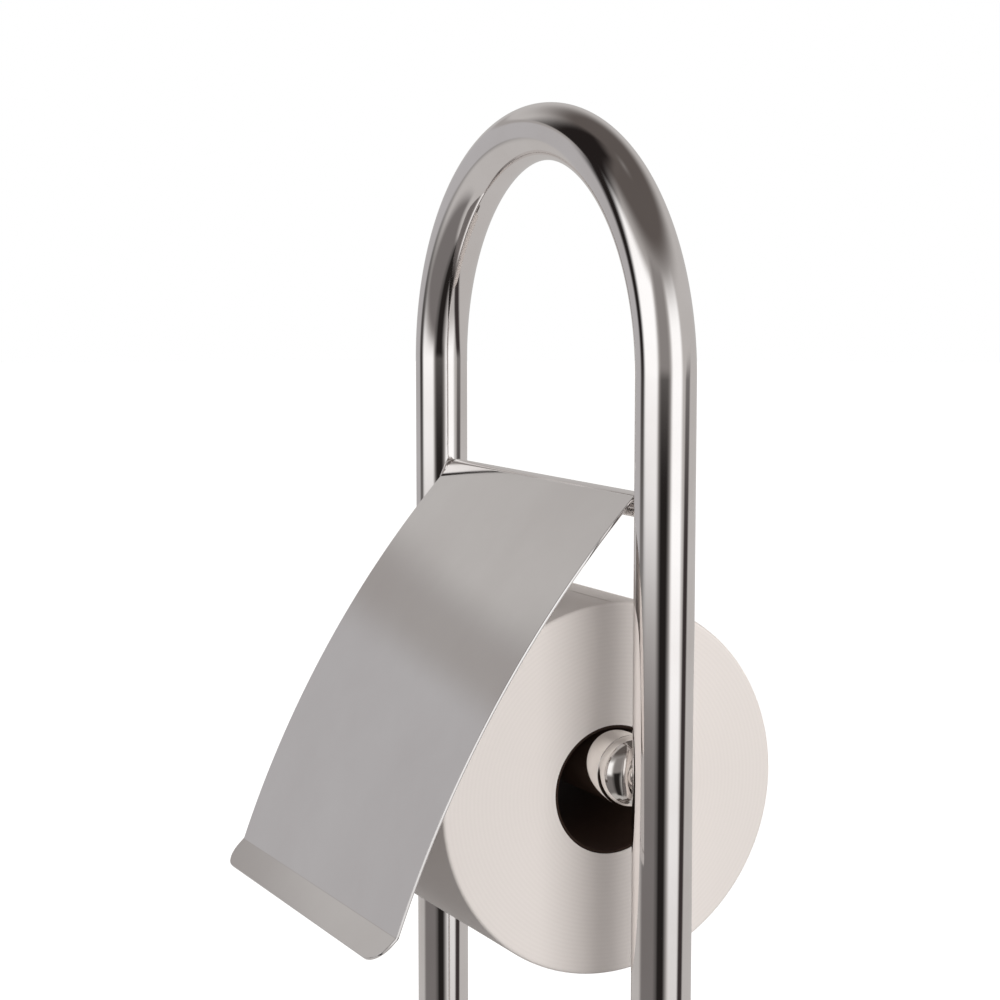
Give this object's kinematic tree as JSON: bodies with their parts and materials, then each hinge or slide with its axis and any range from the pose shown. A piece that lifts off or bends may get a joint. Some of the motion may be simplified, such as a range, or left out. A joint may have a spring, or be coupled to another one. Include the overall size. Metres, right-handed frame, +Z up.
{
  "type": "toilet roll stand",
  "caption": "Free-standing toilet-roll stand: polished tube arch on a weighted base, with a sprung roller, a paper roll and a curved hinged cover flap.",
  "frame": {"origin": "on the floor, under the middle of the base", "axes": "+X from the left leg to the right leg along the roller, -Y to the front where the flap hangs, +Z up"},
  "size_m": [0.23, 0.2, 0.65],
  "materials": {
    "polished_tube": "mirror polished stainless steel tube",
    "polished_rod": "mirror polished stainless steel rod",
    "polished_base": "mirror polished pressed stainless steel",
    "polished_sheet": "polished stainless steel sheet",
    "roller_chrome": "chrome plated",
    "plain_steel": "turned steel",
    "black_steel": "black painted steel plate",
    "zinc_fixings": "zinc plated steel",
    "spring_wire": "drawn spring wire",
    "foot_rubber": "matt black rubber",
    "core_board": "grey brown board",
    "tissue_paper": "soft tissue"
  },
  "bodies": {
    "frame": {"frame_tube": "polished_tube", "crossbar": "polished_rod", "leg_insert_left": "plain_steel", "leg_insert_right": "plain_steel", "base_cover": "polished_base", "base_weight": "black_steel", "leg_screw_left": "zinc_fixings", "leg_screw_right": "zinc_fixings", "leg_washer_left": "zinc_fixings", "leg_washer_right": "zinc_fixings", "foot_front_left": "foot_rubber", "foot_front_right": "foot_rubber", "foot_rear_left": "foot_rubber", "foot_rear_right": "foot_rubber"},
    "flap": {"flap": "polished_sheet"},
    "roller_outer": {"roller_outer_tube": "roller_chrome", "roller_cap_right": "roller_chrome", "roller_spring": "spring_wire"},
    "roller_inner": {"roller_inner_tube": "roller_chrome", "roller_cap_left": "roller_chrome"},
    "roll": {"cardboard_core": "core_board", "paper_roll": "tissue_paper"}
  },
  "joints": [
    {"name": "flap_hinge", "type": "hinge", "parent": "frame", "child": "flap", "pos_m": [0, 0, 0.5216], "axis": [-1, 0, 0], "range_deg": [0, 131]},
    {"name": "roller_spin", "type": "hinge", "parent": "frame", "child": "roller_outer", "pos_m": [0, 0, 0.4355], "axis": [1, 0, 0], "continuous": true},
    {"name": "roller_compress", "type": "slide", "parent": "roller_outer", "child": "roller_inner", "axis": [1, 0, 0], "range_m": [0, 0.008], "stiffness_N_per_m": 300, "springref_m": -0.01, "deforming": ["roller_spring"]},
    {"name": "roll_spin", "type": "hinge", "parent": "frame", "child": "roll", "pos_m": [0, 0, 0.4271], "axis": [1, 0, 0], "continuous": true}
  ]
}
